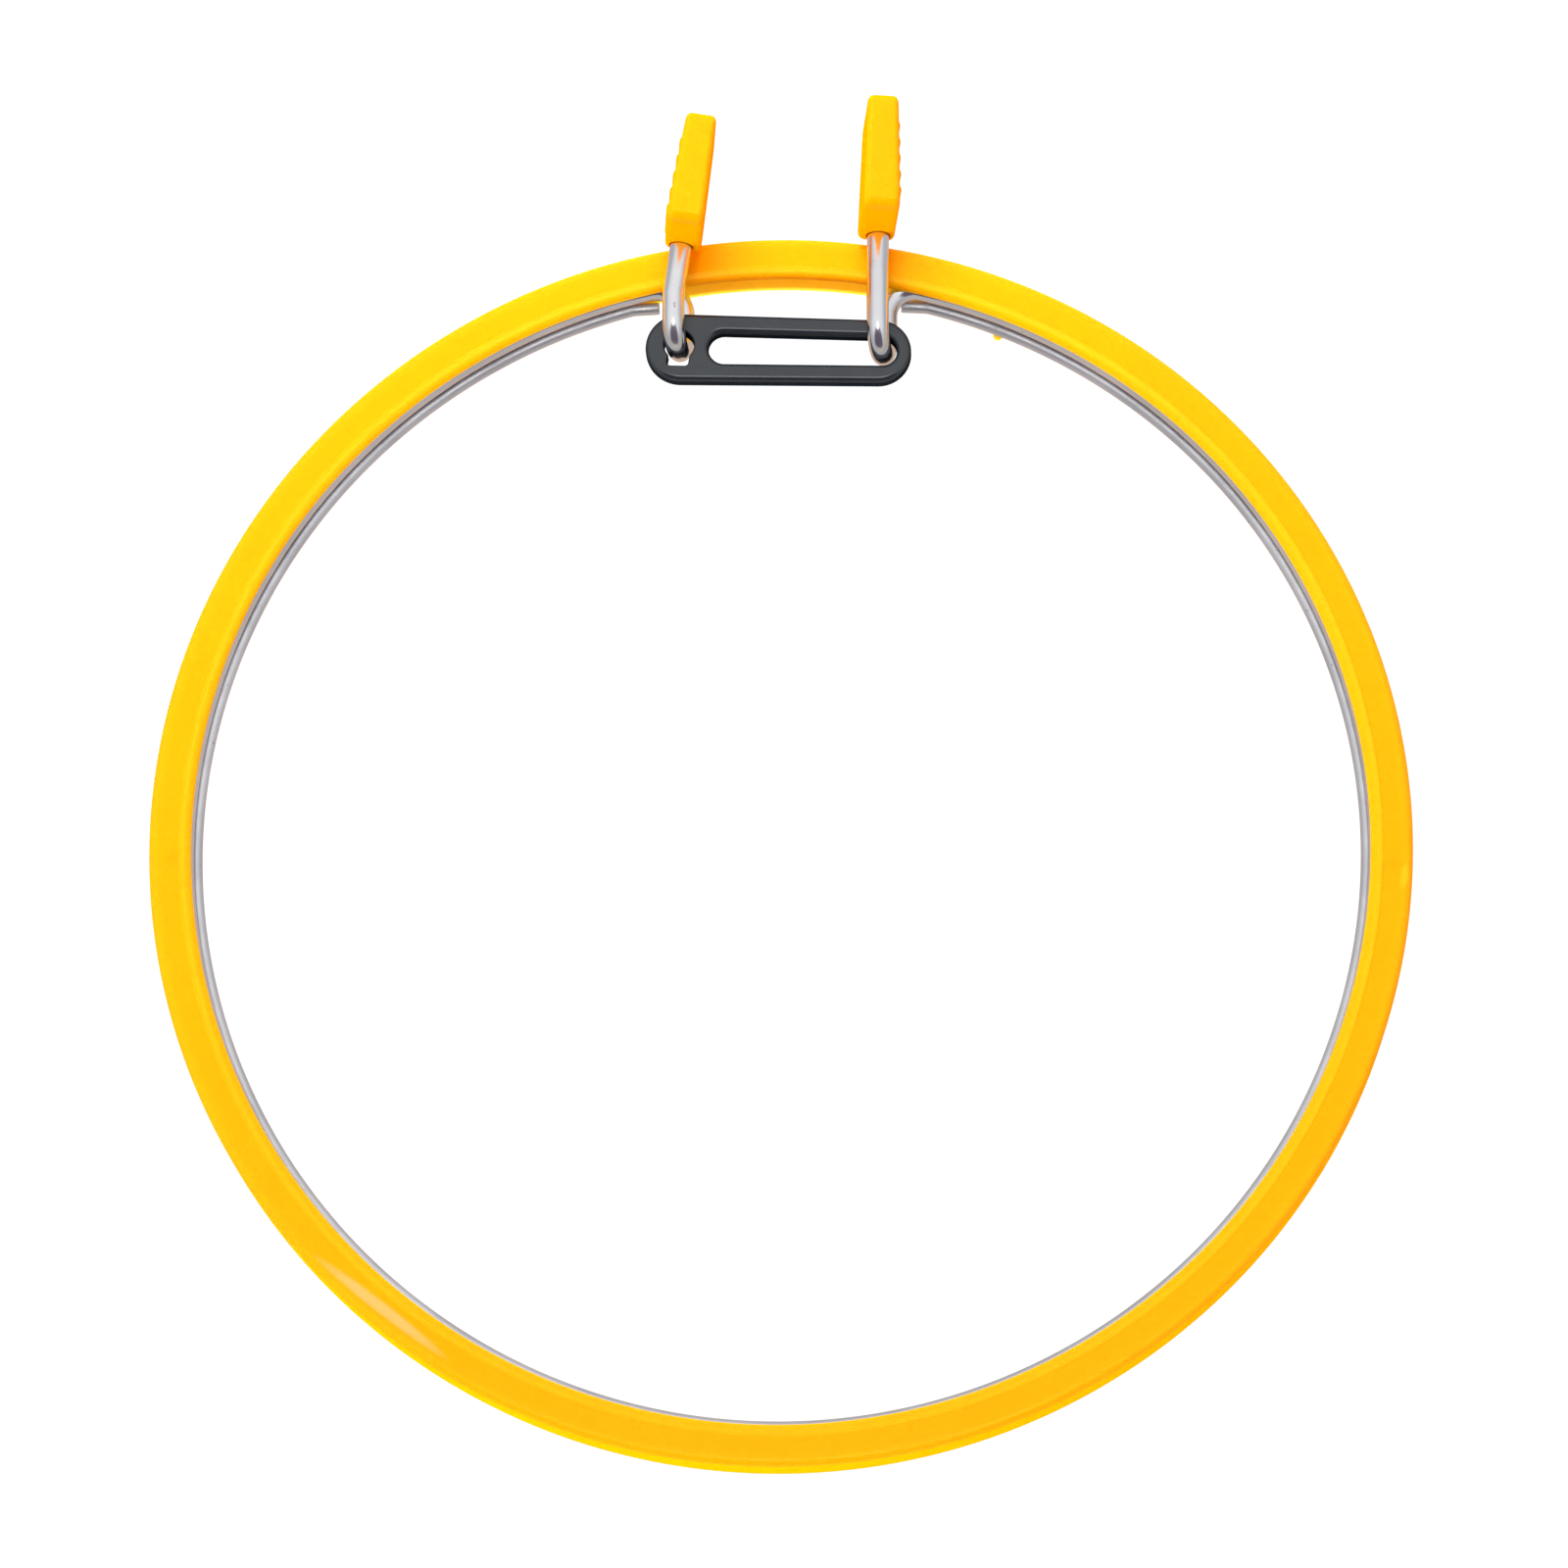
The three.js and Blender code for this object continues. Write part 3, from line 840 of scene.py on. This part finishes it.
# Strength and depth of the finest relief
YELLOW_GRAIN_RELIEF = (0.12, 0.00002)
YELLOW_RIPPLE_RELIEF = (0.2, 0.0002)
STEEL_RELIEF = (0.1, 0.00002)
CHARCOAL_RELIEF = (0.06, 0.00001)
# Colours and roughnesses, each as a pair to drift between
RING_YELLOWS = ((0.98, 0.315, 0.0), (1.0, 0.33, 0.0))
# The grips' yellows are a little darker than the ring's: painted shade, as the key lamp stands
# nearer the grips
GRIP_SHADED_YELLOWS = ((0.98, 0.28, 0.0), (1.0, 0.30, 0.0))
STEEL_GREYS = ((0.66, 0.66, 0.69), (0.80, 0.80, 0.82))
CHARCOAL_GREYS = ((0.006, 0.008, 0.011), (0.009, 0.012, 0.015))
YELLOW_ROUGHNESS = (0.2, 0.34)
SPRING_ROUGHNESS = (0.15, 0.25)
BACKING_ROUGHNESS = (0.42, 0.55)
CHARCOAL_ROUGHNESS = (0.16, 0.24)
SPECK_TINT = (0.6, 0.59, 0.6)
YELLOW_GLOSS = 0.5
CHARCOAL_GLOSS = 0.75
GLOSS_FADE = (0.25, 0.5)
YELLOW_GLOSS_TINT = (1.0, 0.85, 0.12, 1)
SUBSURFACE_SHARE = 0.45
SUBSURFACE_REACH = (1.0, 0.4, 0.05)
SUBSURFACE_SCALE = 3 * MM
FLOOR_GREY = (0.05, 0.05, 0.05, 1)
FLOOR_ROUGHNESS = 0.9
FLOOR_GLOSS = 0.1
FLOOR_GLOW = 1.02

# The mix node's colour sockets
MIX_UNDER = 6
MIX_OVER = 7
MIX_RESULT = 2


def new_material(name):
    material = bpy.data.materials.new(name)
    material.use_nodes = True
    tree = material.node_tree
    return material, tree, tree.nodes["Principled BSDF"]


def object_position(tree):
    return tree.nodes.new("ShaderNodeTexCoord").outputs["Object"]


def noise(tree, position, scale, detail):
    made = tree.nodes.new("ShaderNodeTexNoise")
    made.inputs["Scale"].default_value = scale
    made.inputs["Detail"].default_value = detail
    tree.links.new(position, made.inputs["Vector"])
    return made.outputs["Fac"]


def ramp(tree, value, stops):
    made = tree.nodes.new("ShaderNodeValToRGB")
    elements = made.color_ramp.elements
    while len(elements) < len(stops):
        elements.new(0.5)
    for element, (place, colour) in zip(elements, stops):
        element.position = place
        element.color = (*colour, 1)
    tree.links.new(value, made.inputs["Fac"])
    return made.outputs["Color"]


def drift_between(tree, value, colours):
    """A colour that drifts between two as the noise does."""
    return ramp(tree, value, list(zip((NOISE_LOW, NOISE_HIGH), colours)))


def colour_mix(tree, under, factor=None, kind="MIX"):
    made = tree.nodes.new("ShaderNodeMix")
    made.data_type = "RGBA"
    made.blend_type = kind
    made.inputs["Factor"].default_value = 1
    if factor is not None:
        tree.links.new(factor, made.inputs["Factor"])
    tree.links.new(under, made.inputs[MIX_UNDER])
    return made


def mixed(tree, factor, under, over, kind="MIX"):
    made = colour_mix(tree, under, factor, kind)
    tree.links.new(over, made.inputs[MIX_OVER])
    return made.outputs[MIX_RESULT]


def bump(tree, height, strength, distance, normal=None):
    made = tree.nodes.new("ShaderNodeBump")
    made.inputs["Strength"].default_value = strength
    made.inputs["Distance"].default_value = distance
    tree.links.new(height, made.inputs["Height"])
    if normal is not None:
        tree.links.new(normal, made.inputs["Normal"])
    return made.outputs["Normal"]


def map_range(tree, value, low, high, to_low, to_high):
    made = tree.nodes.new("ShaderNodeMapRange")
    made.inputs["From Min"].default_value = low
    made.inputs["From Max"].default_value = high
    made.inputs["To Min"].default_value = to_low
    made.inputs["To Max"].default_value = to_high
    tree.links.new(value, made.inputs["Value"])
    return made.outputs["Result"]


def soft_gloss(tree, shader, level):
    """Gloss that fades on surfaces seen edge-on, so that the pale floor doesn't veil them."""
    facing = tree.nodes.new("ShaderNodeLayerWeight").outputs["Facing"]
    gloss = map_range(tree, facing, *GLOSS_FADE, level, 0)
    tree.links.new(gloss, shader.inputs["Specular IOR Level"])


def patch(tree, position, centre, turn, half_length, half_width):
    """A soft long spot: 1 at its centre, 0 at its rim."""
    mapping = tree.nodes.new("ShaderNodeMapping")
    mapping.vector_type = "TEXTURE"
    mapping.inputs["Location"].default_value = centre
    mapping.inputs["Rotation"].default_value = (0, 0, turn)
    mapping.inputs["Scale"].default_value = (half_length, half_width, RING_HEIGHT)
    gradient = tree.nodes.new("ShaderNodeTexGradient")
    gradient.gradient_type = "SPHERICAL"
    tree.links.new(position, mapping.inputs["Vector"])
    tree.links.new(mapping.outputs["Vector"], gradient.inputs["Vector"])
    return gradient.outputs["Fac"]


def tinted(tree, shader, factor, colour):
    """Lays a colour over the shader's colour so far, by the factor."""
    under = shader.inputs["Base Color"].links[0].from_socket
    made = colour_mix(tree, under, factor)
    made.inputs[MIX_OVER].default_value = (*colour, 1)
    tree.links.new(made.outputs[MIX_RESULT], shader.inputs["Base Color"])


def ring_marks_and_painted_light(tree, shader, place):
    """Painted highlights, painted light in the groove, a painted reflection streak and smudges."""
    across = tree.nodes.new("ShaderNodeVectorMath")
    across.operation = "MULTIPLY_ADD"
    across.inputs[1].default_value = (1, 1, 0)
    across.inputs[2].default_value = -RING_CENTRE
    tree.links.new(place, across.inputs[0])
    length = tree.nodes.new("ShaderNodeVectorMath")
    length.operation = "LENGTH"
    tree.links.new(across.outputs["Vector"], length.inputs[0])
    # Painted highlights: the band is lighter along the bead and towards the outer edge
    band = map_range(tree, length.outputs["Value"], LIP_RADIUS, RING_RADIUS, 0, 1)
    shade = ramp(tree, band, BAND_PAINTED_HIGHLIGHTS)
    painted_highlight = tree.nodes.new("ShaderNodeSeparateColor")
    tree.links.new(shade, painted_highlight.inputs["Color"])
    tinted(tree, shader, painted_highlight.outputs["Red"], PAINTED_HIGHLIGHT_YELLOW)
    # Painted light in the groove, where light through the translucent plastic brightens the wall
    height = tree.nodes.new("ShaderNodeSeparateXYZ")
    tree.links.new(place, height.inputs[0])
    groove = tree.nodes.new("ShaderNodeMath")
    groove.operation = "MULTIPLY"
    low = map_range(tree, height.outputs["Z"], GROOVE_TOP, GROOVE_TOP + GROOVE_FADE, 1, 0)
    reach = GROOVE_RADIUS + GROOVE_FADE
    inner = map_range(tree, length.outputs["Value"], GROOVE_RADIUS, reach, 1, 0)
    tree.links.new(low, groove.inputs[0])
    tree.links.new(inner, groove.inputs[1])
    tinted(tree, shader, groove.outputs["Value"], GROOVE_PAINTED_LIGHT)
    # The first mark is a painted reflection streak; the rest are smudges
    for centre, turn, half_length, half_width, strength, colour in RING_SMUDGES_AND_PAINTED_STREAK:
        spot = patch(tree, place, RING_CENTRE + Vector(centre) * MM, turn, half_length, half_width)
        tinted(tree, shader, map_range(tree, spot, 0, MARK_CORE, 0, strength), colour)


def yellow_plastic(name, colours, markings_and_painted_light=None):
    """Glossy moulded plastic: a slow drift of colour, a fine mould texture and duller patches."""
    material, tree, shader = new_material(name)
    place = object_position(tree)
    drift = noise(tree, place, *YELLOW_DRIFT)
    tree.links.new(drift_between(tree, drift, colours), shader.inputs["Base Color"])
    if markings_and_painted_light is not None:
        markings_and_painted_light(tree, shader, place)
    rubs = noise(tree, place, *YELLOW_RUBS)
    rubbed = map_range(tree, rubs, YELLOW_RUBS_LOW, NOISE_HIGH, *YELLOW_ROUGHNESS)
    tree.links.new(rubbed, shader.inputs["Roughness"])
    grain = noise(tree, place, *YELLOW_GRAIN)
    ripple = noise(tree, place, *YELLOW_RIPPLE)
    fine = bump(tree, grain, *YELLOW_GRAIN_RELIEF)
    relief = bump(tree, ripple, *YELLOW_RIPPLE_RELIEF, fine)
    tree.links.new(relief, shader.inputs["Normal"])
    shader.inputs["Subsurface Weight"].default_value = SUBSURFACE_SHARE
    shader.inputs["Subsurface Radius"].default_value = SUBSURFACE_REACH
    shader.inputs["Subsurface Scale"].default_value = SUBSURFACE_SCALE
    shader.inputs["Specular Tint"].default_value = YELLOW_GLOSS_TINT
    soft_gloss(tree, shader, YELLOW_GLOSS)
    return material


def drawn_steel(name, roughness):
    """Bright drawn wire with duller patches and a few dark specks."""
    material, tree, shader = new_material(name)
    place = object_position(tree)
    tone = noise(tree, place, *STEEL_TONE)
    base = drift_between(tree, tone, STEEL_GREYS)
    specks = noise(tree, place, *STEEL_SPECKS)
    dark = ramp(tree, specks, [(SPECKS_LOW, (1, 1, 1)), (SPECKS_HIGH, SPECK_TINT)])
    tree.links.new(mixed(tree, None, base, dark, "MULTIPLY"), shader.inputs["Base Color"])
    patches = noise(tree, place, *STEEL_DULLNESS)
    dullness = map_range(tree, patches, NOISE_LOW, NOISE_HIGH, *roughness)
    tree.links.new(dullness, shader.inputs["Roughness"])
    grain = noise(tree, place, *STEEL_GRAIN)
    tree.links.new(bump(tree, grain, *STEEL_RELIEF), shader.inputs["Normal"])
    shader.inputs["Metallic"].default_value = 1
    return material


def charcoal_plastic():
    """Dark moulded plastic with a soft sheen, a mould grain and duller spots."""
    material, tree, shader = new_material("charcoal_plastic")
    place = object_position(tree)
    tone = noise(tree, place, *CHARCOAL_TONE)
    tree.links.new(drift_between(tree, tone, CHARCOAL_GREYS), shader.inputs["Base Color"])
    rubs = noise(tree, place, *CHARCOAL_RUBS)
    rubbed = map_range(tree, rubs, NOISE_LOW, NOISE_HIGH, *CHARCOAL_ROUGHNESS)
    tree.links.new(rubbed, shader.inputs["Roughness"])
    grain = noise(tree, place, *CHARCOAL_GRAIN)
    tree.links.new(bump(tree, grain, *CHARCOAL_RELIEF), shader.inputs["Normal"])
    soft_gloss(tree, shader, CHARCOAL_GLOSS)
    return material


def floor_material():
    material, tree, shader = new_material("pale_floor")
    shader.inputs["Base Color"].default_value = FLOOR_GREY
    shader.inputs["Roughness"].default_value = FLOOR_ROUGHNESS
    shader.inputs["Specular IOR Level"].default_value = FLOOR_GLOSS
    shader.inputs["Emission Color"].default_value = (1, 1, 1, 1)
    shader.inputs["Emission Strength"].default_value = FLOOR_GLOW
    return material


# Stage. The studio's shades run from straight down (0) past the horizon (0.5) to straight up (1)
TABLE = (0.72, 0.53, 0.42)
WALLS = [
    (0.0, TABLE),
    (0.20, TABLE),
    (0.30, (0.55, 0.56, 0.58)),
    (0.51, (0.52, 0.54, 0.57)),
    (0.64, (0.54, 0.56, 0.59)),
    (0.80, (0.86, 0.87, 0.89)),
    (0.92, (1.0, 1.0, 1.0)),
]
DARK_CORNER = [
    (0.0, TABLE),
    (0.20, TABLE),
    (0.30, (0.60, 0.58, 0.54)),
    (0.57, (0.70, 0.66, 0.58)),
    (0.61, (0.13, 0.11, 0.14)),
    (1.0, (0.15, 0.12, 0.16)),
]
DARK_DIRECTION = Vector((0, -0.777, 0.629))
DARK_EDGE = math.cos(math.radians(44))
DARK_CORE = math.cos(math.radians(35))
PANEL_DIRECTION = Vector((0, -0.12, 0.993))
PANEL_EDGE = math.cos(math.radians(12))
PANEL_CORE = math.cos(math.radians(7))
PANEL_GLOW = 3.0
FLOOR_HALF = 4.0
FLOOR_DROP = 0.2 * MM
# Lights: name, place, aim, size and power in watts
LIGHTS = [
    ("key", (-0.06, 0.25, 0.31), (0, 0.04, 0), (0.3, 0.25), 2.45),
    ("fill", (-0.55, -1.53, 0.27), (0, 0, 0), (1.6, 0.45), 32.5),
]


def floor():
    corners = ((-1, -1), (1, -1), (1, 1), (-1, 1))
    points = [Vector((x * FLOOR_HALF, y * FLOOR_HALF, -FLOOR_DROP)) for x, y in corners]
    ground = mesh_piece("floor", points, [(0, 1, 2, 3)], floor_material())
    ground.visible_glossy = False


def soft_light(name, place, aim, size, power):
    data = bpy.data.lights.new(name, "AREA")
    data.shape = "RECTANGLE"
    data.size, data.size_y = size
    data.energy = power
    lamp = bpy.data.objects.new(name, data)
    scene.collection.objects.link(lamp)
    lamp.location = place
    lamp.rotation_euler = (Vector(aim) - Vector(place)).to_track_quat("-Z", "Y").to_euler()
    lamp.visible_glossy = False


def closeness(tree, direction, aim):
    """The cosine between a direction and the aim."""
    made = tree.nodes.new("ShaderNodeVectorMath")
    made.operation = "DOT_PRODUCT"
    made.inputs[1].default_value = aim
    tree.links.new(direction, made.inputs[0])
    return made.outputs["Value"]


def world():
    """A pale studio: bright overhead, grey walls, one dark corner and a soft panel."""
    made = bpy.data.worlds.new("studio")
    scene.world = made
    made.use_nodes = True
    tree = made.node_tree
    direction = tree.nodes.new("ShaderNodeTexCoord").outputs["Generated"]
    parts = tree.nodes.new("ShaderNodeSeparateXYZ")
    tree.links.new(direction, parts.inputs[0])
    height = map_range(tree, parts.outputs["Z"], -1, 1, 0, 1)
    to_corner = closeness(tree, direction, DARK_DIRECTION)
    corner = map_range(tree, to_corner, DARK_EDGE, DARK_CORE, 0, 1)
    room = mixed(tree, corner, ramp(tree, height, WALLS), ramp(tree, height, DARK_CORNER))
    to_panel = closeness(tree, direction, PANEL_DIRECTION)
    panel = map_range(tree, to_panel, PANEL_EDGE, PANEL_CORE, 0, 1)
    glow = ramp(tree, panel, [(0.0, (0,) * 3), (1.0, (PANEL_GLOW,) * 3)])
    tree.links.new(mixed(tree, None, room, glow, "ADD"), tree.nodes["Background"].inputs["Color"])


# Camera, fitted to the ring's circles
CAMERA_PLACE = RING_CENTRE + Vector((23.217, -215.056, 871.169)) * MM
CAMERA_AIM = RING_CENTRE + Vector((0.46, 9.78, 0)) * MM
FOCAL_LENGTH_IN_WIDTHS = 6384 / 1600
SENSOR_WIDTH = 36


def camera():
    data = bpy.data.cameras.new("camera")
    data.sensor_width = SENSOR_WIDTH
    data.lens = SENSOR_WIDTH * FOCAL_LENGTH_IN_WIDTHS
    made = bpy.data.objects.new("camera", data)
    scene.collection.objects.link(made)
    back = (CAMERA_PLACE - CAMERA_AIM).normalized()
    right = Vector((0, 1, 0)).cross(back).normalized()
    up = back.cross(right)
    turn = Matrix((right, up, back)).transposed().to_4x4()
    made.matrix_world = Matrix.Translation(CAMERA_PLACE) @ turn
    scene.camera = made


camera()
world()
floor()
for light in LIGHTS:
    soft_light(*light)

ring_plastic = yellow_plastic("ring_yellow", RING_YELLOWS, ring_marks_and_painted_light)
grip_plastic = yellow_plastic("grip_yellow", GRIP_SHADED_YELLOWS)
spring_steel = drawn_steel("bright_steel", SPRING_ROUGHNESS)
backing_steel = drawn_steel("satin_steel", BACKING_ROUGHNESS)
charcoal = charcoal_plastic()

outer_ring(ring_plastic)
moulding_nub(ring_plastic)
for handle in (LEFT_HANDLE, RIGHT_HANDLE):
    spring_half(handle, spring_steel)
    backing_half(handle, backing_steel)
    finger_grip(handle, grip_plastic)
retaining_link(charcoal)

scene.view_settings.view_transform = "Standard"
